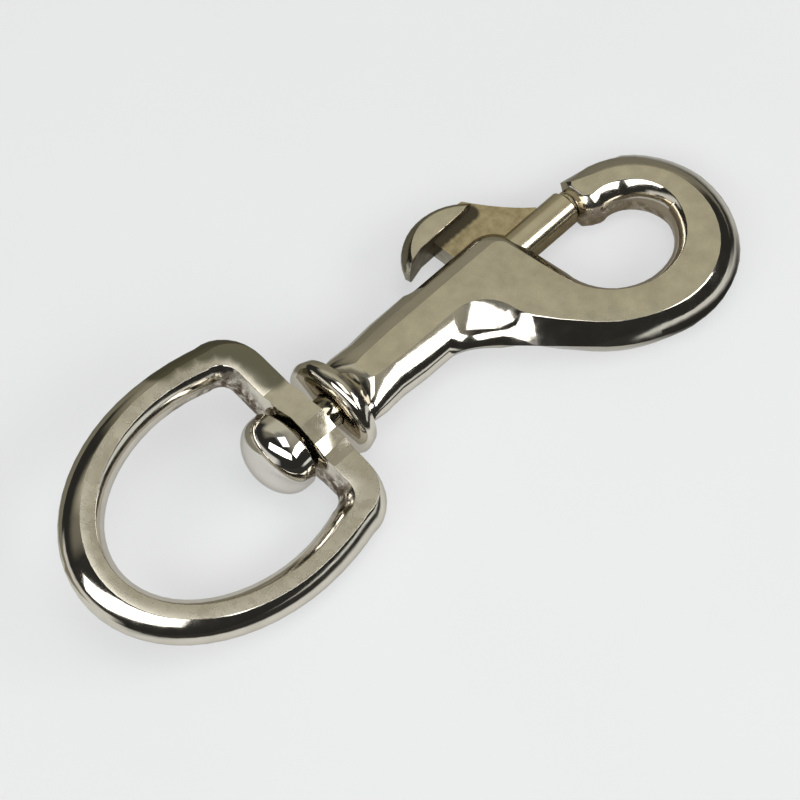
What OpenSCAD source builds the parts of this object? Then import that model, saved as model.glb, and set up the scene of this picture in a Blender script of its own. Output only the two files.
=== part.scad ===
// Swivel snap hook: a cast body with a round-bottomed hook, a sprung sliding bolt with a thumb lever,
// and a D-shaped strap eye that turns on a rivet in the tail.
//
// Frame: X is the common axis of the bolt and the swivel, +X towards the hook. The thumb lever is on
// the +Y side and the hook bellies out to -Y. Z runs through the thickness. The origin is on the axis,
// in the middle of the eye's cross bar. Millimetres.

/* [Body] */
// Thickness of the flat faced body, from face to face
body_t = 6.6; // [6:0.1:8]
// Width of the flat face along the barrel
barrel_face_w = 4; // [3:0.1:5]
// How far the barrel's rounded side stands out beyond its flat face
barrel_side = 3.6; // [2.8:0.1:4.5]
// Where the barrel ends and the bolt comes out
mouth_x = 41.7; // [41:0.1:43]
// How far the barrel's flat face sits towards the hook's side of the axis
face_shift = 0.55; // [0:0.05:0.8]

/* [Hook] */
// Radius of the main curve inside the hook, at the face
hook_inner_r = 10.5; // [9.5:0.1:11.5]
// Radius of the main curve outside the hook, at the face
hook_outer_r = 13.2; // [12.2:0.1:14.2]
// Distance of the hook's centre from the mouth
hook_reach = 8.6; // [8:0.1:9.5]
// Distance of the inner curve's centre below the axis
hook_inner_drop = 8.2; // [7.6:0.1:8.8]
// Distance of the outer curve's centre below the axis
hook_outer_drop = 10.5; // [9.9:0.1:11.2]
// Clear gap that the closed bolt bridges, from the mouth to the nose
gate_gap = 9.6; // [8.5:0.1:10.2]
// How deep the bolt's tip seats in the nose
nose_seat = 0.9; // [0.5:0.1:1.4]

/* [Bolt] */
// Diameter of the bolt
bolt_d = 5; // [4:0.1:5.2]
// Clearance on diameter between the bolt and its bore
bolt_fit = 0.3; // [0.2:0.05:0.5]
// Travel of the bolt from closed to fully open
bolt_travel = 8.4; // [7:0.1:8.8]
// Distance from the mouth back to the bolt's rear end when closed
bolt_tail = 12.6; // [11.5:0.1:13.5]
// Thickness of the web that joins the thumb lever to the bolt
web_t = 3; // [2.4:0.1:3.4]
// Clearance on each side of the web in its slot
slot_fit = 0.25; // [0.15:0.05:0.4]
// Distance from the mouth back to the web's rear edge when closed
web_back = 8.2; // [7.5:0.1:9]
// Height of the thumb pad's underside above the axis
pad_under = 8.6; // [7.6:0.1:9.2]
// Thickness of the thumb pad across the flats
pad_t = 4.6; // [4:0.1:5.4]

/* [Spring] */
// Wire diameter of the spring
wire_d = 0.6; // [0.4:0.05:0.7]
// Number of turns of the spring
spring_turns = 6; // [5:0.5:6]
// Clearance on diameter between the spring and its bore
spring_fit = 0.5; // [0.3:0.05:0.8]
// Distance from the mouth back to the spring's seat in the barrel
spring_seat = 25.6; // [25:0.1:26.5]

/* [Tail collar] */
// Diameter of the collar at the tail
collar_d = 14.4; // [13.6:0.1:15]
// Thickness of the collar's rim
collar_rim = 1.4; // [1:0.1:2]
// Length of the flare from the collar down to the barrel
flare_l = 3.4; // [2.8:0.1:4]

/* [Swivel rivet] */
// Diameter of the rivet's shank
rivet_d = 4.8; // [4:0.1:5]
// Diameter of the rivet's domed head
rivet_head_d = 11.4; // [10.4:0.1:12]
// Length of the straight part of the head
rivet_head_side = 2; // [1.2:0.1:2.6]
// Height of the head's dome
rivet_dome = 3.9; // [3:0.1:4.4]
// How deep the shank is pressed into the barrel
rivet_grip = 8; // [6:0.1:9]

/* [Swivel eye] */
// Clear width inside the eye, for the strap
eye_clear_w = 25; // [24:0.1:27]
// Clear length inside the eye, from the cross bar to the far end
eye_clear_l = 29.4; // [27:0.1:31]
// Width of the ring's bar at its sides
eye_bar_w = 5.6; // [5.2:0.1:6]
// Width of the ring's bar at its far end
eye_end_w = 6.4; // [6:0.1:6.8]
// How far the inner edge of the ring's face is from the opening
eye_inner_side = 1.8; // [1.4:0.1:2]
// Width of the narrow flat along the ring's face
eye_face_w = 1.8; // [1.4:0.1:2.4]
// Thickness of the ring
eye_t = 5.6; // [5:0.1:6.2]
// Width of the cross bar along the axis
cross_bar_w = 5.2; // [4.6:0.1:5.6]
// Diameter of the boss that the rivet passes through
boss_d = 8.8; // [8.2:0.1:10]
// Clearance on diameter between the rivet's shank and the eye
swivel_fit = 0.5; // [0.3:0.05:0.8]
// Gap between the cross bar and the rivet's head
head_gap = 0.4; // [0.3:0.05:0.8]
// Gap between the cross bar and the collar
collar_gap = 1.3; // [0.8:0.05:1.6]
// How far the ring's middle sits to one side of its bore
ring_shift = 0.9; // [0:0.1:1.2]
// Angle at which the eye leans on the swivel when the hook lies on a table
eye_lean = 16.5; // [0:0.5:20]

/* [Hidden] */
$fn = 64;

// Steps from the middle of a rounded side to its face, and along a main curve
side_steps = 5;
curve_steps = 20;
corner_steps = 8;

body_h = body_t / 2;
face_h = barrel_face_w / 2;
bore_d = bolt_d + bolt_fit;
nose_x = mouth_x + gate_gap;
tip_x = nose_x + nose_seat;
bolt_rear_x = mouth_x - bolt_tail;
web_rear_x = mouth_x - web_back;
seat_x = mouth_x - spring_seat;
bar_near_x = -cross_bar_w / 2;
bar_far_x = cross_bar_w / 2;
collar_x = bar_far_x + collar_gap;
head_x = bar_near_x - head_gap;

function unit(a) = [cos(a), sin(a)];
function mix(a, b, k) = a + (b - a) * k;
function steps(n) = [for (i = [0 : n]) i / n];

// A station of an outline is [point at the face, point at the middle of the side].
// round_side: stations on an arc whose side stands out by a bulge read from a table of angles;
// out is 1 where the side is outside the arc and -1 where it is inside.
function round_side(c, r, a0, a1, n, out, bulge) =
    [for (k = steps(n)) let (a = mix(a0, a1, k)) [c + r * unit(a), c + (r + out * lookup(a, bulge)) * unit(a)]];

function curve(p, q, r, k) = mix(mix(p, q, k), mix(q, r, k), k);

// Share of the bulge left at height z of a body of half thickness h: a parabola, crisp at the face
function side_share(z, h) = 1 - pow(z / h, 2);

// A flat faced solid with rounded sides, from a closed outline of stations
module rounded_plate(outline, h) {
    n = len(outline);
    levels = [for (i = [-side_steps : side_steps]) h * sin(90 * i / side_steps)];
    m = len(levels);
    points = [for (z = levels, s = outline)
        let (p = mix(s[0], s[1], side_share(z, h))) [p.x, p.y, z]];
    walls = [for (j = [0 : m - 2], i = [0 : n - 1])
        let (a = j * n + i, b = j * n + (i + 1) % n) [a, b, b + n, a + n]];
    // Each flat face is a strip of triangles between the outline's two halves
    strip = [for (i = [0 : ceil(n / 2) - 2]) each
        concat([[i, i + 1, n - 1 - i]], i + 1 < n - 2 - i ? [[i + 1, n - 2 - i, n - 1 - i]] : [])];
    top = [for (t = strip) [for (i = t) (m - 1) * n + i]];
    bottom = [for (t = strip) [t[2], t[1], t[0]]];
    polyhedron(points, concat(walls, bottom, top));
}

// Turns a profile of [x, r] points about the X axis
module turned(profile) {
    rotate([0, 90, 0]) rotate_extrude() polygon([for (p = profile) [p[1], p[0]]]);
}

// Cylinder along X from x0 to x1
module rod(d, x0, x1) {
    translate([x0, 0, 0]) rotate([0, 90, 0]) cylinder(d = d, h = x1 - x0);
}

// ---- Body: outline of the barrel, mouth, hook and nose ----

barrel_h = face_h + barrel_side;
mouth_side = 2.6;
mouth_face_r = 1.7;
mouth_end = [5, barrel_h - 1];
nose_inner_r = 6.7;
nose_outer_r = 10.2;
heel_r = 17.6;
neck_run = 8.7;
fillet_r = 5.6;
nose_in_turn = -20;
heel_turn = -97;
heel_end_turn = -141;

hook_x = mouth_x + hook_reach;
hook_in = [hook_x, -hook_inner_drop];
hook_out = [hook_x, -hook_outer_drop];
nose_in = hook_in + (hook_inner_r - nose_inner_r) * unit(nose_in_turn);
nose_out = hook_out + (hook_outer_r - nose_outer_r) * unit(0);
heel = hook_out + (hook_outer_r - heel_r) * unit(heel_turn);
heel_end = heel + heel_r * unit(heel_end_turn);
neck = heel_end + neck_run * unit(heel_end_turn - 90);
fillet = [neck.x - fillet_r, -face_h - face_shift - fillet_r];
flank = [fillet.x - 2, -barrel_h];
flank_start = flank + [3.6, -3.6];

// How far the side stands out beyond the face, by the direction it looks in
inside_bulge = [[180, 2.5], [225, 1.9], [270, 2], [340, 1.3], [400, 1.6], [455, 2.2]];
outside_bulge = [[-141, 1.7], [-110, 1.65], [-90, 1.9], [-45, 2.9], [0, 3.8], [45, 4.1], [72, 3.6]];

// Along the tail: distance from the collar and half width, for the face and then for the side
tail = [
    [6.7, face_h - 0.5, 3, 4.5], [7.2, face_h - 0.35, 3.9, 5.3], [8.4, face_h - 0.2, 6, 5.5],
    [10.8, face_h - 0.1, 9.4, 5.3], [14, face_h, 13.6, barrel_h]
];

function tail_station(t, side) = [[collar_x + t[0], side * t[1] - face_shift], [collar_x + t[2], side * t[3]]];
function barrel_side_far() = [for (t = tail) tail_station(t, 1)];
function barrel_side_near() = [for (i = [len(tail) - 1 : -1 : 0]) tail_station(tail[i], -1)];
function mouth_corner() =
    let (c = [mouth_x - mouth_side - mouth_face_r, face_h - face_shift - mouth_face_r],
         d = [mouth_x - mouth_end.x, barrel_h - mouth_end.y])
    [for (k = steps(corner_steps)) let (u = unit(90 * (1 - k)))
        [c + mouth_face_r * u, d + [mouth_end.x * u.x, mouth_end.y * u.y]]];
function nose_end() = [
    [[nose_x + 1.3, -2.4], [nose_x + 1, -4.5]],
    [[nose_x + 0.8, -2], [nose_x, -3.6]],
    [[nose_x + 1, 0.3], [nose_x, 1.6]],
    [[nose_x + 1.5, 0.7], [nose_x + 1.1, 3.2]]
];
function neck_sides() =
    let (side = heel_end + lookup(heel_end_turn, outside_bulge) * unit(heel_end_turn))
    [for (k = [0.3, 0.6, 0.85]) [curve(heel_end, neck, fillet + [fillet_r, 0], k), mix(side, flank_start, k)]];
function fillet_sides() =
    [for (k = steps(corner_steps))
        [fillet + fillet_r * unit(90 * k), curve(flank_start, flank, flank - [2.5, 0], k)]];

function body_outline() = concat(
    barrel_side_far(),
    mouth_corner(),
    round_side(hook_in, hook_inner_r, 180, 360 + nose_in_turn, curve_steps, -1, inside_bulge),
    round_side(nose_in, nose_inner_r, 365 + nose_in_turn, 455, 13, -1, inside_bulge),
    nose_end(),
    round_side(nose_out, nose_outer_r, 72, 5, 9, 1, outside_bulge),
    round_side(hook_out, hook_outer_r, 0, heel_turn, 13, 1, outside_bulge),
    round_side(heel, heel_r, heel_turn - 5, heel_end_turn, 7, 1, outside_bulge),
    neck_sides(),
    fillet_sides(),
    barrel_side_near()
);

// Profile of the collar and the flare that runs down into the barrel
flare_end_r = 2.8;
function collar_profile() =
    let (r = collar_d / 2, x1 = collar_x + collar_rim + 1)
    concat(
        [[collar_x, 0], [collar_x, r - 1.1], [collar_x + 0.5, r - 0.3], [collar_x + 1.1, r],
         [collar_x + collar_rim, r]],
        [for (k = steps(8)) [x1 + flare_l * k, flare_end_r + (r - 0.3 - flare_end_r) * pow(1 - k, 2.2)]],
        [[x1 + flare_l, 0]]
    );

module hook_body() {
    slot_w = web_t + 2 * slot_fit;
    // The slot's round end lets the web's square rear edge come all the way back
    slot_x = web_rear_x - bolt_travel - slot_fit + sqrt(pow(slot_w / 2, 2) - pow(web_t / 2, 2));
    color("silver") difference() {
        union() {
            rounded_plate(body_outline(), body_h);
            turned(collar_profile());
        }
        rod(bore_d, seat_x, mouth_x + 1);
        rod(rivet_d, collar_x - 1, collar_x + rivet_grip);
        rod(nose_seat_d, nose_x - 1, tip_x);
        translate([slot_x, 0, 0]) {
            rotate([-90, 0, 0]) cylinder(d = slot_w, h = 2 * barrel_h);
            translate([0, 0, -slot_w / 2]) cube([mouth_x, 2 * barrel_h, slot_w]);
        }
    }
}

// ---- Bolt with its thumb lever ----

tip_d = bolt_d - 1;
nose_seat_d = tip_d + bolt_fit;
pad_r = 9;
pad_face_r = 7.5;
pad_x = web_rear_x + 1.9;
ramp_foot = [web_rear_x + 13.8, bolt_d / 2 - 0.3];

function bolt_profile() = [
    [bolt_rear_x, 0], [bolt_rear_x, bolt_d / 2 - 0.4], [bolt_rear_x + 0.4, bolt_d / 2],
    [nose_x - 0.6, bolt_d / 2], [nose_x - 0.1, tip_d / 2], [tip_x - 0.3, tip_d / 2],
    [tip_x, tip_d / 2 - 0.3], [tip_x, 0]
];

function pad_outline() =
    let (c = [pad_x, pad_under - 4.9], d = [pad_x - 0.2, pad_under - 4.9])
    concat(
        [for (k = steps(14)) [d + pad_face_r * unit(mix(143, 43, k)), c + pad_r * unit(mix(153, 37, k))]],
        [[[pad_x + 4.4, pad_under], [pad_x + 6.2, pad_under - 0.3]],
         [[pad_x + 0.6, pad_under - 0.1], [pad_x + 0.6, pad_under - 0.2]],
         [[pad_x - 4.2, pad_under - 0.2], [pad_x - 4.8, pad_under - 0.4]],
         [[pad_x - 6.5, pad_under - 0.8], [pad_x - 7.8, pad_under - 1.5]]]
    );

function web_outline() =
    let (top = [pad_x + 5.8, pad_under + 1.6])
    concat(
        [[web_rear_x, 1], [web_rear_x, pad_under + 0.5], [pad_x, pad_under + 2.4]],
        [for (k = steps(6)) curve(top, [pad_x + 8.8, pad_under - 3.6], ramp_foot, k)],
        [[ramp_foot.x, 1]]
    );

module bolt() {
    color("lightgray") union() {
        turned(bolt_profile());
        translate([0, 0, -web_t / 2]) linear_extrude(web_t) polygon(web_outline());
        rounded_plate(pad_outline(), pad_t / 2);
    }
}

// ---- Spring ----

module spring() {
    r = (bore_d - spring_fit - wire_d) / 2;
    x0 = seat_x + wire_d / 2;
    run = bolt_rear_x - seat_x - wire_d;
    rings = ceil(16 * spring_turns);
    sides = 8;
    points = [for (i = [0 : rings], j = [0 : sides - 1])
        let (a = 360 * spring_turns * i / rings, u = unit(360 * j / sides) * wire_d / 2)
        [x0 + run * i / rings + u.y, (r + u.x) * cos(a), (r + u.x) * sin(a)]];
    walls = [for (i = [0 : rings - 1], j = [0 : sides - 1])
        let (a = i * sides + j, b = i * sides + (j + 1) % sides) [a, b, b + sides, a + sides]];
    ends = [[for (j = [sides - 1 : -1 : 0]) j], [for (j = [0 : sides - 1]) rings * sides + j]];
    color("dimgray") polyhedron(points, concat(walls, ends));
}

// ---- Swivel rivet ----

function rivet_profile() =
    let (r = rivet_head_d / 2, x1 = head_x - 0.8, x2 = head_x - rivet_head_side)
    concat(
        [[collar_x + rivet_grip, 0], [collar_x + rivet_grip, rivet_d / 2], [head_x, rivet_d / 2],
         [head_x, r - 1.2], [x1 + 0.2, r - 0.3], [x1 - 0.1, r]],
        [for (k = steps(10)) [x2 - rivet_dome * sin(90 * k), r * cos(90 * k)]]
    );

module swivel_rivet() {
    color("gainsboro") turned(rivet_profile());
}

// ---- Swivel eye ----

eye_h = eye_t / 2;
eye_x = bar_near_x - 10.6;
arm_taper = 1.2;
boss_half = 7.5;
bar_steps = 8;

// A closed D: half an ellipse at the far end, arms that close in, rounded corners and the cross bar
function d_path(rx, ry, bar_x, corner_r, taper) =
    let (c = [bar_x - corner_r, ry - taper - corner_r],
         arm = [for (k = [0.3, 0.6, 0.85]) [mix(eye_x, c.x, k), ry - taper * pow(k, 2)]])
    concat(
        [for (a = [90 : 6 : 270]) [eye_x + rx * cos(a), ry * sin(a)]],
        [for (p = arm) [p.x, -p.y]],
        [for (k = steps(corner_steps)) [c.x, -c.y] + corner_r * unit(270 + 90 * k)],
        [for (i = [1 - bar_steps : bar_steps - 1]) [bar_x, boss_half * i / bar_steps - ring_shift]],
        [for (k = steps(corner_steps)) c + corner_r * unit(90 * k)],
        [for (i = [len(arm) - 1 : -1 : 0]) arm[i]]
    );

// Half thickness of the eye at a point of its path: the cross bar swells to the boss round the rivet
function eye_half_t(p) =
    let (near = max(0, 1 - abs(p.y + ring_shift) / boss_half))
    eye_h + (p.x < bar_near_x ? 0 : (boss_d / 2 - eye_h) * (1 - cos(180 * near)) / 2);

// The eye as four paths: the middle of the outer side, the two edges of the face, and the inner side
module ring() {
    rx = eye_x - (bar_near_x - eye_clear_l);
    ry = eye_clear_w / 2;
    face_in = eye_inner_side;
    face_out = eye_inner_side + eye_face_w;
    paths = [
        d_path(rx + eye_end_w, ry + eye_bar_w, bar_far_x, 5.8, arm_taper),
        d_path(rx + face_out, ry + face_out, bar_far_x - 0.6, 5, arm_taper),
        d_path(rx + face_in - 0.2, ry + face_in, bar_near_x + 0.7, 3, arm_taper),
        d_path(rx, ry, bar_near_x, 2.6, arm_taper)
    ];
    n = len(paths[0]);
    tops = side_steps + 1;
    m = 4 * side_steps + 2;
    points = [for (i = [0 : n - 1], j = [0 : m - 1])
        let (out = j < m / 2, step = (out ? j : m - 1 - j) - side_steps, h = eye_half_t(paths[1][i]),
             z = h * sin(90 * step / side_steps), k = side_share(z, h),
             p = out ? mix(paths[1][i], paths[0][i], k) : mix(paths[2][i], paths[3][i], k))
        [p.x, p.y, z]];
    faces = [for (i = [0 : n - 1], j = [0 : m - 1])
        let (a = i * m, b = ((i + 1) % n) * m, c = (j + 1) % m) [a + j, a + c, b + c, b + j]];
    polyhedron(points, faces);
}

module swivel_eye() {
    color("silver") rotate([eye_lean, 0, 0]) difference() {
        translate([0, ring_shift, 0]) ring();
        rod(rivet_d + swivel_fit, bar_near_x - 1, bar_far_x + 1);
    }
}

hook_body();
bolt();
spring();
swivel_rivet();
swivel_eye();
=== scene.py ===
"""Looks for the swivel snap hook: polished nickel on cast pieces, lying on a pale surface."""
import math

import bmesh
import bpy
from mathutils import Matrix, Vector


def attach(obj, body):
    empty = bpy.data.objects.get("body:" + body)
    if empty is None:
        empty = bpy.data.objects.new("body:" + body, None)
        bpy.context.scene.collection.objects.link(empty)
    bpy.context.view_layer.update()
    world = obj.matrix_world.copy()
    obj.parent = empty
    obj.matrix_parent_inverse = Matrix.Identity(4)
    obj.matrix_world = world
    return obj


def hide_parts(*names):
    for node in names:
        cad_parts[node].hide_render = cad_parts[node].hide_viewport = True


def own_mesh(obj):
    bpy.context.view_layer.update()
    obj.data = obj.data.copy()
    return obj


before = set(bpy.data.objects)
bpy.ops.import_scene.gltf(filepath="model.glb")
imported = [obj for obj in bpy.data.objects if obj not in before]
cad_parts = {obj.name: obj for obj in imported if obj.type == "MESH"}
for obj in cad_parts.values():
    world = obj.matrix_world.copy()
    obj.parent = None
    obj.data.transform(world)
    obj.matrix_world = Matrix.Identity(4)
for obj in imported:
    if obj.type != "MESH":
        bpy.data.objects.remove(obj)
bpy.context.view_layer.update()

scene = bpy.context.scene
MM = 0.001
MICRON = 0.000001
UP = Vector((0, 0, 1))


# ---- Camera: the photograph's, 504 mm from the hook and 54 degrees above its flat faces ----

PHOTO_PX = 800
FOCAL_PX = 3888
SENSOR_MM = 36
ELEVATION = math.radians(54)
TURN = math.radians(47)
DISTANCE = 504 * MM
CLIP_START = 0.02
CLIP_END = 20
# A point on the hook's axis, and where the photograph shows it
AIM = Vector((-0.9, 0, 0)) * MM
AIM_PX = (300, 435.7)

# Level directions: to the right of the view, and from the hook towards the camera's side
RIGHT = Vector((math.cos(TURN), -math.sin(TURN), 0))
TOWARDS = -Vector((math.sin(TURN), math.cos(TURN), 0))


def make_camera():
    data = bpy.data.cameras.new("photo_camera")
    data.sensor_width = SENSOR_MM
    data.lens = FOCAL_PX * SENSOR_MM / PHOTO_PX
    data.clip_start = CLIP_START
    data.clip_end = CLIP_END
    up = UP * math.cos(ELEVATION) - TOWARDS * math.sin(ELEVATION)
    back = UP * math.sin(ELEVATION) + TOWARDS * math.cos(ELEVATION)
    across = (AIM_PX[0] - PHOTO_PX / 2) / FOCAL_PX * DISTANCE
    above = (PHOTO_PX / 2 - AIM_PX[1]) / FOCAL_PX * DISTANCE
    camera = bpy.data.objects.new("photo_camera", data)
    camera.matrix_world = Matrix((RIGHT, up, back)).transposed().to_4x4()
    camera.location = AIM - RIGHT * across - up * above + back * DISTANCE
    scene.collection.objects.link(camera)
    scene.camera = camera


# ---- Nodes ----

def rgba(colour):
    """An opaque colour from three numbers, or a grey from one."""
    return (*colour, 1) if isinstance(colour, tuple) else (colour, colour, colour, 1)


class Graph:
    """The nodes of a material or a world. An input takes another node's output or a plain value."""

    def __init__(self, owner):
        owner.use_nodes = True
        self.nodes = owner.node_tree.nodes
        self.links = owner.node_tree.links

    def feed(self, socket, value):
        if isinstance(value, bpy.types.NodeSocket):
            self.links.new(value, socket)
        else:
            socket.default_value = value

    def add(self, kind, inputs=None, **settings):
        node = self.nodes.new("ShaderNode" + kind)
        for name, value in settings.items():
            setattr(node, name, value)
        for name, value in (inputs or {}).items():
            self.feed(node.inputs[name], value)
        return node

    def place(self, space="Object"):
        return self.add("TexCoord").outputs[space]

    def noise(self, scale, detail=4, roughness=0.55):
        """Clouds of 0 to 1, with a scale per metre."""
        inputs = {"Vector": self.place(), "Scale": scale, "Detail": detail, "Roughness": roughness}
        return self.add("TexNoise", inputs).outputs["Fac"]

    def ramp(self, value, stops):
        """The colour at a value of 0 to 1, straight between (value, colour) stops."""
        node = self.add("ValToRGB", {"Fac": value})
        elements = node.color_ramp.elements
        while len(elements) < len(stops):
            elements.new(0.5)
        for element, (position, colour) in zip(elements, stops):
            element.position = position
            element.color = rgba(colour)
        return node.outputs["Color"]

    def maths(self, operation, first, second):
        return self.add("Math", {0: first, 1: second}, operation=operation).outputs["Value"]

    def vector(self, operation, output, *inputs):
        node = self.add("VectorMath", dict(enumerate(inputs)), operation=operation)
        return node.outputs[output]

    def fade(self, value, start, end):
        """0 at the start, 1 at the end and smooth between. The end may be the smaller one."""
        inputs = {"From Min": start, "From Max": end, "Value": value}
        return self.add("MapRange", inputs, interpolation_type="SMOOTHSTEP").outputs["Result"]

    def blend(self, share, first, second):
        """The first colour where the share is 0, and the second where it is 1."""
        colours = [colour if isinstance(colour, bpy.types.NodeSocket) else rgba(colour)
                   for colour in (first, second)]
        inputs = {"Factor": share, "A": colours[0], "B": colours[1]}
        return self.add("Mix", inputs, data_type="RGBA").outputs["Result"]

    def near_points(self, points, core, reach):
        """1 within the core of any of the points, fading to 0 at the reach."""
        place = self.place()
        total = 0.0
        for point in points:
            gap = self.vector("DISTANCE", "Value", place, point)
            total = self.maths("MAXIMUM", total, self.fade(gap, reach, core))
        return total


def new_material(name):
    material = bpy.data.materials.new(name)
    graph = Graph(material)
    return material, graph, graph.nodes["Principled BSDF"]


# ---- Nickel: two tones in soft clouds, uneven polish and a fine cast texture ----

EDGE_TINT = (0.62, 0.61, 0.58)
# The clouds' values between which the darker tone turns into the lighter, and smooth into rough
TONE_STOPS = (0.3, 0.7)
POLISH_STOPS = (0.3, 0.75)
# Polish varies this much finer than tone
POLISH_FINER = 2.3
# Where cast skin shows in patches, and painted shade in the eye's corners: the clouds' scale,
# detail and roughness, and where they end
PATCH_CLOUDS = (800, 5, 0.7)
PATCH_ENDS = (0.35, 0.6)


def nickel(name, light, dark, rough, grain, bump=None, marks=()):
    """rough is (lowest, highest), grain is the clouds' scale per metre, and bump is (depth in
    microns, scale per metre)."""
    material, graph, shader = new_material(name)
    shader.inputs["Metallic"].default_value = 1
    shader.inputs["Specular Tint"].default_value = rgba(EDGE_TINT)
    colour = graph.ramp(graph.noise(grain), list(zip(TONE_STOPS, (dark, light))))
    polish = graph.noise(grain * POLISH_FINER, detail=5)
    roughness = graph.ramp(polish, list(zip(POLISH_STOPS, rough)))
    for mark in marks:
        share = graph.near_points(mark["points"], mark["core"], mark["reach"])
        if mark["patchy"]:
            patches = graph.fade(graph.noise(*PATCH_CLOUDS), *PATCH_ENDS)
            share = graph.maths("MULTIPLY", share, patches)
        colour = graph.blend(share, colour, mark["colour"])
        roughness = graph.blend(share, roughness, mark["rough"])
    graph.feed(shader.inputs["Base Color"], colour)
    graph.feed(shader.inputs["Roughness"], roughness)
    if bump:
        depth, scale = bump
        height = graph.noise(scale, detail=3)
        inputs = {"Strength": 1, "Distance": depth * MICRON, "Height": height}
        graph.feed(shader.inputs["Normal"], graph.add("Bump", inputs).outputs["Normal"])
    return material


# The eye leans on its rivet. Its own axes are x, along its bar and up from its face
LEAN = math.radians(16.5)
EYE_ALONG = Vector((0, math.cos(LEAN), math.sin(LEAN)))
EYE_UP = Vector((0, -math.sin(LEAN), math.cos(LEAN)))


def on_eye(x, along, up):
    """A point of the eye, given in its own axes and in millimetres."""
    return (Vector((x, 0, 0)) + EYE_ALONG * along + EYE_UP * up) * MM


def stain_and_shade(points, core, reach, colour, rough, patchy):
    """A place near the points with a colour and roughness of its own, in patches where patchy. It
    marks dull plate, cast skin, and painted shade in the eye's corners and on the web under the
    lever's pad.
    """
    return {"points": points, "core": core * MM, "reach": reach * MM, "colour": colour,
            "rough": rough, "patchy": patchy}


# Painted shade: dark, rough patches in the eye's inner corners, where the bar meets the arms
EYE_CORNER_SHADE = stain_and_shade(
    [on_eye(-3.4, 10.6, 0), on_eye(-3.2, 8, -1), on_eye(-6, 11.6, -1.5), on_eye(-3.4, -9, 0),
     on_eye(-10, 12.2, -2)],
    core=1.4, reach=4, colour=(0.13, 0.10, 0.075), rough=0.55, patchy=True)
EYE_DULL = stain_and_shade(
    [on_eye(-3, 17, 2.5), on_eye(-0.5, 15.5, 2.6), on_eye(1, 13, 2.8), on_eye(1, 10.5, 3),
     on_eye(1, 8.5, 3.2), on_eye(-6, 18, 2), on_eye(-9, 18.6, 2)],
    core=1.9, reach=3.1, colour=(0.21, 0.20, 0.15), rough=0.24, patchy=False)
EYE_WALL = stain_and_shade(
    [on_eye(-2.7, along, -1.2) for along in range(-12, 13, 2)],
    core=1.7, reach=3, colour=(0.30, 0.26, 0.22), rough=0.5, patchy=True)
# The hook's mouth, low down only: a large sphere whose top just reaches into it
MOUTH_SKIN = stain_and_shade(
    [Vector((50.3, -8.2, -14)) * MM],
    core=16.1, reach=16.9, colour=(0.34, 0.29, 0.22), rough=0.55, patchy=True)
WEB_SHADE = stain_and_shade(
    [Vector((30.5 + 1.1 * step, 8.1, 1.5)) * MM for step in range(10)],
    core=1.1, reach=1.7, colour=(0.10, 0.085, 0.06), rough=0.5, patchy=False)

SHINE = (0.70, 0.66, 0.58)
SHINE_DARK = (0.62, 0.58, 0.50)
POLISHED = nickel("nickel_polished", SHINE, SHINE_DARK, (0.06, 0.14), 260, (4, 900), [MOUTH_SKIN])
FACE = nickel("nickel_face", (0.69, 0.64, 0.51), (0.55, 0.51, 0.41), (0.24, 0.36), 420, (10, 1500))
EYE_SIDE = nickel("nickel_eye", SHINE, SHINE_DARK, (0.06, 0.14), 260, (6, 700),
                  [EYE_WALL, EYE_CORNER_SHADE, EYE_DULL])
EYE_FACE = nickel("nickel_eye_face", (0.63, 0.59, 0.49), (0.52, 0.49, 0.41), (0.22, 0.34), 240,
                  (6, 900), [EYE_WALL, EYE_CORNER_SHADE, EYE_DULL])
BAR_TOP = nickel("nickel_bar", (0.70, 0.66, 0.56), (0.58, 0.54, 0.45), (0.1, 0.2), 420, (8, 900),
                 [EYE_DULL])
ROD = nickel("nickel_rod", (0.66, 0.60, 0.46), (0.58, 0.52, 0.39), (0.14, 0.22), 300, (4, 900))
# Painted shade: a darker copy of the rod's nickel for the rod's lower side
ROD_SHADED_SIDE = nickel("nickel_rod_shaded_side", (0.44, 0.38, 0.26), (0.30, 0.26, 0.17), (0.2, 0.32), 500,
                 (8, 900))
WEB = nickel("nickel_web", (0.62, 0.53, 0.34), (0.38, 0.32, 0.20), (0.25, 0.5), 900, (60, 1300),
             [WEB_SHADE])
# Painted shade: a darker copy of the polished nickel for the lever's sides
LEVER_SIDE_SHADED = nickel("nickel_lever_side_shaded", (0.42, 0.39, 0.31), (0.27, 0.25, 0.20), (0.12, 0.26), 500,
                    (6, 900))
# Painted shade: a dark, rough copy of the nickel for the underside of the lever's pad
SHADED_UNDERSIDE = nickel("nickel_underside_shaded", (0.22, 0.19, 0.14), (0.11, 0.10, 0.08), (0.3, 0.5), 700,
                   (20, 900))
DOME = nickel("nickel_dome", (0.74, 0.72, 0.67), (0.70, 0.67, 0.61), (0.03, 0.07), 200)
WIRE = nickel("spring_wire", (0.50, 0.49, 0.47), (0.38, 0.37, 0.36), (0.25, 0.4), 700)


# ---- Pieces: each CAD solid's shape, welded, with smooth sides and slightly broken edges ----

WELD = 2 * MICRON
CREASE = math.radians(32)
EDGE_BREAK = 110 * MICRON


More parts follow.
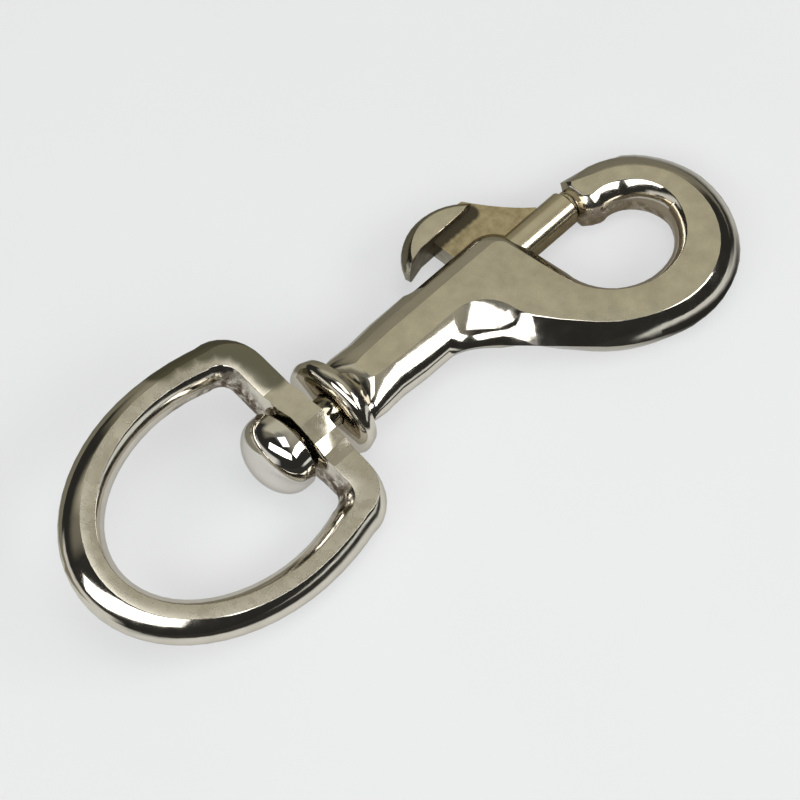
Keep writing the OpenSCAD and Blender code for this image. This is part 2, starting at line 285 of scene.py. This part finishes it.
def dressed(node, body, finishes, choose, shape_up=None, edge_finish=None):
    """Makes NODE_finish from a CAD node. choose(middle in millimetres, normal) picks one of the
    finishes for a face. The edges round faces of the second finish are broken, in edge_finish."""
    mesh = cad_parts[node].data.copy()
    mesh.materials.clear()
    for finish in finishes:
        mesh.materials.append(finish)
    shape = bmesh.new()
    shape.from_mesh(mesh)
    bmesh.ops.remove_doubles(shape, verts=shape.verts, dist=WELD)
    shape.normal_update()
    for polygon in shape.faces:
        finish = choose(polygon.calc_center_median() / MM, polygon.normal)
        polygon.material_index = finishes.index(finish)
        polygon.smooth = True
    if shape_up:
        shape_up(shape)
    if edge_finish:
        rims = [edge for edge in shape.edges
                if sum(face.material_index == 1 for face in edge.link_faces) == 1]
        bmesh.ops.bevel(shape, geom=rims, offset=EDGE_BREAK, offset_type="OFFSET", segments=2,
                        profile=0.5, affect="EDGES", clamp_overlap=True,
                        material=finishes.index(edge_finish))
    shape.normal_update()
    for edge in shape.edges:
        soft = len(edge.link_faces) == 2 and edge.calc_face_angle(0) < CREASE
        edge.smooth = soft and not edge.seam
    shape.to_mesh(mesh)
    shape.free()
    piece = bpy.data.objects.new(node + "_finish", mesh)
    scene.collection.objects.link(piece)
    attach(piece, body)
    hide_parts(node)
    return piece


# A face is flat across an axis when its normal's share of the axis is more than this
FLAT = 0.9995


def body_finish(middle, normal):
    return FACE if abs(normal.dot(UP)) > FLAT else POLISHED


# The bolt, in millimetres: the pad's faces are farther from the middle plane than the web's, the
# rod's side is within a radius of the axis, and the pad's underside is beyond the barrel
PAD_FROM = 2
ROD_WITHIN = 2.6
UNDERSIDE_FROM = 5
# The rod's lower side rises less than this, and the pad's underside turns to -y more than this
RISES = 0.5
TURNS_BACK = 0.5


def bolt_finish(middle, normal):
    if abs(normal.dot(UP)) > FLAT:
        return FACE if abs(middle.z) > PAD_FROM else WEB
    if math.hypot(middle.y, middle.z) < ROD_WITHIN:
        return ROD_SHADED_SIDE if normal.z < RISES and normal.y < 0 else ROD
    return SHADED_UNDERSIDE if normal.y < -TURNS_BACK and middle.y > UNDERSIDE_FROM else LEVER_SIDE_SHADED


# The eye's cross bar, in millimetres: it lies beyond this x, and its hammered top ends here. The
# top's faces look up the eye by this share at least
BAR_BACK = -2.3
BAR_TOP_END = 6.4
TOP_FACES_UP = 0.9


def eye_finish(middle, normal):
    on_bar = middle.x > BAR_BACK and abs(middle.y) < BAR_TOP_END
    if on_bar and normal.dot(EYE_UP) > TOP_FACES_UP:
        return BAR_TOP
    return EYE_FACE if abs(normal.dot(EYE_UP)) > FLAT else EYE_SIDE


# The heel's rounded side, in millimetres: an arc, then the run to the fillet. A section bulges by
# 1 - share ** power, where share runs from the middle plane to the face. The power is 2 for the
# cast parabola and 1 for a wedge
BODY_HALF = 3.3
CAST_POWER = 2
HEEL_CENTRE = Vector((50.836, -6.133))
HEEL_R = 17.6
HEEL_TURNS = (-141.5, -97.5)
# Rows of the turn about the centre in degrees, and the bulge or the power there
HEEL_BULGE = [(-141, 1.7), (-110, 1.65), (-97, 1.8)]
HEEL_POWERS = [(-141, 1.1), (-112, 1.25), (-97, 2)]
# Rows of a station's point on the face, its point on the middle plane, and the power there
NECK_RUN = [(Vector((34.37, -13.55)), Vector((33.39, -15.56)), 1.05),
            (Vector((32.56, -10.70)), Vector((30.94, -12.83)), 1.0),
            (Vector((31.80, -8.94)), Vector((28.91, -10.56)), 1.3)]
# How near a vertex has to be to a section, and the shares that are left as they are
NEAR_ARC = 0.1
NEAR_STATION = 0.08
MIDDLE_SHARE = 0.02
FACE_SHARE = 0.999


def between(rows, place):
    """The value at a place between [place, value] rows, and the end row's value beyond them."""
    for (start, low), (end, high) in zip(rows, rows[1:]):
        if start <= place <= end:
            return low + (high - low) * (place - start) / (end - start)
    return rows[0][1] if place < rows[0][0] else rows[-1][1]


def flatten_heel(shape):
    """Grinds the heel's rounded side towards a wedge, inside the cast outline."""
    for vertex in shape.verts:
        spot = Vector(vertex.co.xy) / MM
        share = abs(vertex.co.z) / MM / BODY_HALF
        if not MIDDLE_SHARE < share < FACE_SHARE:
            continue
        cast = share ** CAST_POWER
        out = spot - HEEL_CENTRE
        turn = math.degrees(math.atan2(out.y, out.x))
        bulge = between(HEEL_BULGE, turn)
        on_arc = abs(out.length - HEEL_R - bulge * (1 - cast)) < NEAR_ARC
        if HEEL_TURNS[0] < turn < HEEL_TURNS[1] and on_arc:
            ground = share ** between(HEEL_POWERS, turn)
            spot = spot + out.normalized() * bulge * (cast - ground)
        for edge, middle, power in NECK_RUN:
            if (spot - edge.lerp(middle, 1 - cast)).length < NEAR_STATION:
                spot = edge.lerp(middle, 1 - share ** power)
                break
        vertex.co.xy = spot * MM


# The hammered top of the cross bar, in millimetres. Each ridge is (along the bar, height at the
# near edge, height at the far edge)
BAR_RIDGES = [(-6.56, 2.86, 2.86), (-4.69, 3.05, 3.29), (-2.81, 3.78, 3.55), (0, 4.1, 4.4),
              (1.88, 4.17, 3.82), (3.75, 3.22, 3.6), (5.63, 3.03, 2.82), (6.56, 2.86, 2.86)]
BAR_NEAR = -1.9
BAR_FAR = 2.0
BAR_END = 6.57
ON_RIDGE = 0.05
# The boss on the bar as it is cast: half its length, the ring's half thickness and its own rise.
# What lies above TOP_FROM is lowered, and never below the level that clears the rivet's bore
BOSS_HALF = 7.5
EYE_HALF = 2.8
BOSS_RISE = 1.6
BORE_CLEAR = 2.62
TOP_FROM = 2.63


def hammer_bar(shape):
    """Lowers the bar's top to a row of tilted facets, clear of the bore, and marks their ridges."""
    nears = [(place, near) for place, near, far in BAR_RIDGES]
    fars = [(place, far) for place, near, far in BAR_RIDGES]
    for vertex in shape.verts:
        x, along, up = (value / MM for value in
                        (vertex.co.x, vertex.co.dot(EYE_ALONG), vertex.co.dot(EYE_UP)))
        if x < BAR_BACK or abs(along) > BAR_END or up < TOP_FROM:
            continue
        cast = EYE_HALF + BOSS_RISE * (1 - math.cos(math.pi * (1 - abs(along) / BOSS_HALF))) / 2
        across = min(1, max(0, (x - BAR_NEAR) / (BAR_FAR - BAR_NEAR)))
        facet = between(nears, along) * (1 - across) + between(fars, along) * across
        drop = (up - BORE_CLEAR) * (1 - (facet - BORE_CLEAR) / (cast - BORE_CLEAR))
        vertex.co = vertex.co - EYE_UP * max(0, drop) * MM
    for edge in shape.edges:
        ends = [vertex.co.dot(EYE_ALONG) / MM for vertex in edge.verts]
        lowest = min(vertex.co.dot(EYE_UP) for vertex in edge.verts) / MM
        on_top = edge.verts[0].co.x / MM > BAR_BACK and lowest > BORE_CLEAR
        if on_top and any(all(abs(end - place) < ON_RIDGE for end in ends) for place, _ in nears):
            edge.seam = True


BOLT_FINISHES = [LEVER_SIDE_SHADED, FACE, WEB, ROD, SHADED_UNDERSIDE, ROD_SHADED_SIDE, POLISHED]

dressed("hook_body", "casting", [POLISHED, FACE], body_finish,
        shape_up=flatten_heel, edge_finish=POLISHED)
dressed("bolt", "bolt", BOLT_FINISHES, bolt_finish, edge_finish=POLISHED)
dressed("swivel_rivet", "casting", [DOME], lambda middle, normal: DOME)
dressed("swivel_eye", "eye", [EYE_SIDE, EYE_FACE, BAR_TOP], eye_finish,
        shape_up=hammer_bar, edge_finish=EYE_SIDE)
spring = dressed("spring", "casting", [WIRE], lambda middle, normal: WIRE)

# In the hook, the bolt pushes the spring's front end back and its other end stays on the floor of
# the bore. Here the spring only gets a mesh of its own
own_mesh(spring)


# ---- Room, as the metal mirrors it. Azimuth 0 is on the camera's side and 90 to its right ----

DARK = (0.03, 0.03, 0.028)
OLIVE = (0.33, 0.31, 0.24)
BEIGE = (0.57, 0.55, 0.45)
PALE = (0.79, 0.81, 0.81)
GREY = (0.80, 0.80, 0.78)
CEILING = (0.22, 0.22, 0.20)

# Colours by azimuth in degrees, from the table's edge up
TABLE_ROOM = [(-180, OLIVE), (-158, OLIVE), (-148, DARK), (-108, DARK), (-98, GREY), (-35, GREY),
              (-22, DARK), (150, DARK), (160, OLIVE)]
LOW_ROOM = [(-180, OLIVE), (-155, OLIVE), (-142, DARK), (152, DARK), (164, OLIVE)]
HIGH_ROOM = [(-180, BEIGE), (-124, BEIGE), (-108, (0.22, 0.21, 0.17)), (-90, (0.2, 0.19, 0.16)),
             (-78, DARK), (20, DARK), (60, (0.26, 0.25, 0.21)), (110, (0.46, 0.44, 0.36)),
             (150, BEIGE)]
# The heights, as sines of the elevation, over which each of them gives way to the next
LOW_ROOM_FROM = (0.14, 0.24)
HIGH_ROOM_FROM = (0.45, 0.72)
CEILING_FROM = (0.9, 0.98)


def by_azimuth(graph, direction, stops):
    turn = graph.maths("ARCTAN2", graph.vector("DOT_PRODUCT", "Value", direction, RIGHT),
                       graph.vector("DOT_PRODUCT", "Value", direction, TOWARDS))
    share = graph.maths("ADD", graph.maths("DIVIDE", turn, 2 * math.pi), 0.5)
    return graph.ramp(share, [((degrees + 180) / 360, colour) for degrees, colour in stops])


def make_world():
    world = bpy.data.worlds.new("studio")
    scene.world = world
    graph = Graph(world)
    direction = graph.place("Generated")
    height = graph.vector("DOT_PRODUCT", "Value", direction, UP)
    room = by_azimuth(graph, direction, TABLE_ROOM)
    for start_end, colour in [(LOW_ROOM_FROM, by_azimuth(graph, direction, LOW_ROOM)),
                              (HIGH_ROOM_FROM, by_azimuth(graph, direction, HIGH_ROOM)),
                              (CEILING_FROM, CEILING)]:
        room = graph.blend(graph.fade(height, *start_end), room, colour)
    graph.feed(graph.nodes["Background"].inputs["Color"], room)


# ---- Floor: white paper that the hook and the leaning ring come down to, with painted shade and painted reflections of the room that only the metal sees ----

FLOOR_SIZE = 6
FLOOR_PITCH = math.radians(3.75)
FLOOR_TOUCH = Vector((5, 0, -7.25)) * MM
PAPER_TONES = [(0.3, (0.81, 0.82, 0.83)), (0.7, (0.83, 0.84, 0.85))]
PAPER_CLOUDS = (14, 2)
# The share of its own light with which the camera and the metal see the paper
PAPER_GLOW = 0.6

# What only the metal sees on the floor is painted. The paper reaches an ellipse round the hook, and
# beyond it the floor has the room's colours as a painted reflection
PAPER_HALF = (0.078, 0.042)
PAPER_MIDDLE = (0.010, -0.016)
PAPER_ENDS = (0.75, 1.1)
PAINTED_ROOM_REFLECTION = [(-180, OLIVE), (-155, OLIVE), (-146, DARK), (-128, DARK), (-112, PALE), (-35, PALE),
              (-12, DARK), (45, DARK), (60, PALE), (105, PALE), (120, DARK), (150, DARK),
              (164, OLIVE)]
# Painted shade in front of the heel, dark, which only the metal mirrors: how its edge slants, and
# where it starts and ends
FRONT_SLANT = 1.3
FRONT_FROM = (0.038, 0.052)
FRONT_TO = (0.074, 0.058)
# Painted shade behind it, olive, which only the metal mirrors
LEE_SHADE = (0.27, 0.26, 0.21)
LEE_SLANT = 0.74
LEE_FROM = (-0.021, -0.029)
# And the shade in the hook's opening
HOLLOW = (0.34, 0.31, 0.26)
HOOK_MIDDLE = (0.0453, -0.0082, 0)
HOLLOW_CORE = 0.007
HOLLOW_REACH = 0.0105


def paper_colour(graph, glossy):
    """White, apart from the painted shade and painted room reflections that only the metal sees."""
    place = graph.place()
    across = graph.vector("DOT_PRODUCT", "Value", place, RIGHT)
    towards = graph.vector("DOT_PRODUCT", "Value", place, TOWARDS)
    scale = (1 / PAPER_HALF[0], 1 / PAPER_HALF[1], 0)
    offset = (-PAPER_MIDDLE[0] / PAPER_HALF[0], -PAPER_MIDDLE[1] / PAPER_HALF[1], 0)
    from_middle = graph.vector("MULTIPLY_ADD", "Vector", place, scale, offset)
    front = graph.maths("ADD", towards, graph.maths("MULTIPLY", across, FRONT_SLANT))
    behind = graph.maths("ADD", towards, graph.maths("MULTIPLY", across, LEE_SLANT))
    mirrored = [
        (graph.fade(graph.vector("LENGTH", "Value", from_middle), *PAPER_ENDS),
         by_azimuth(graph, place, PAINTED_ROOM_REFLECTION)),
        (graph.maths("MULTIPLY", graph.fade(front, *FRONT_FROM), graph.fade(across, *FRONT_TO)),
         DARK),
        (graph.fade(behind, *LEE_FROM), LEE_SHADE),
        (graph.near_points([HOOK_MIDDLE], HOLLOW_CORE, HOLLOW_REACH), HOLLOW),
    ]
    colour = graph.ramp(graph.noise(*PAPER_CLOUDS), PAPER_TONES)
    for share, seen in mirrored:
        colour = graph.blend(graph.maths("MULTIPLY", share, glossy), colour, seen)
    return colour


def make_floor():
    bpy.ops.mesh.primitive_plane_add(size=FLOOR_SIZE)
    floor = bpy.context.object
    floor.name = "floor"
    floor.rotation_euler = (0, -FLOOR_PITCH, 0)
    floor.location = FLOOR_TOUCH
    material, graph, shader = new_material("floor_paper")
    shader.inputs["Roughness"].default_value = 0.9
    shader.inputs["Specular IOR Level"].default_value = 0.1
    rays = graph.add("LightPath").outputs
    colour = paper_colour(graph, rays["Is Glossy Ray"])
    graph.feed(shader.inputs["Base Color"], colour)
    glow = graph.add("Emission", {"Color": colour})
    seen = graph.maths("ADD", rays["Is Camera Ray"], rays["Is Glossy Ray"])
    mix = graph.add("MixShader", {"Fac": graph.maths("MULTIPLY", seen, PAPER_GLOW),
                                  1: shader.outputs["BSDF"], 2: glow.outputs["Emission"]})
    graph.feed(graph.nodes["Material Output"].inputs["Surface"], mix.outputs["Shader"])
    floor.data.materials.append(material)


# ---- Lamps: softboxes that look at the hook from a metre away ----

LAMP_DISTANCE = 1.0
LAMP_AIM = Vector((14.1, 0, 0)) * MM
# Name, azimuth and elevation in degrees, width and height in metres, and power in watts
LAMPS = [("softbox_left", -20, 38, 1.34, 0.4, 6.4),
         ("window_right", 72, 38, 1.06, 0.34, 5),
         ("lamp_overhead", 20, 77, 0.5, 0.55, 2.3)]


def make_lamp(name, azimuth, elevation, width, height, power):
    data = bpy.data.lights.new(name, "AREA")
    data.shape = "RECTANGLE"
    data.size = width
    data.size_y = height
    data.energy = power
    lamp = bpy.data.objects.new(name, data)
    turn = math.radians(azimuth)
    tall = math.radians(elevation)
    level = TOWARDS * math.cos(turn) + RIGHT * math.sin(turn)
    direction = level * math.cos(tall) + UP * math.sin(tall)
    lamp.location = LAMP_AIM + direction * LAMP_DISTANCE
    lamp.rotation_mode = "QUATERNION"
    lamp.rotation_quaternion = direction.to_track_quat("Z", "Y")
    scene.collection.objects.link(lamp)


make_camera()
make_floor()
make_world()
for lamp_row in LAMPS:
    make_lamp(*lamp_row)

scene.view_settings.view_transform = "Standard"
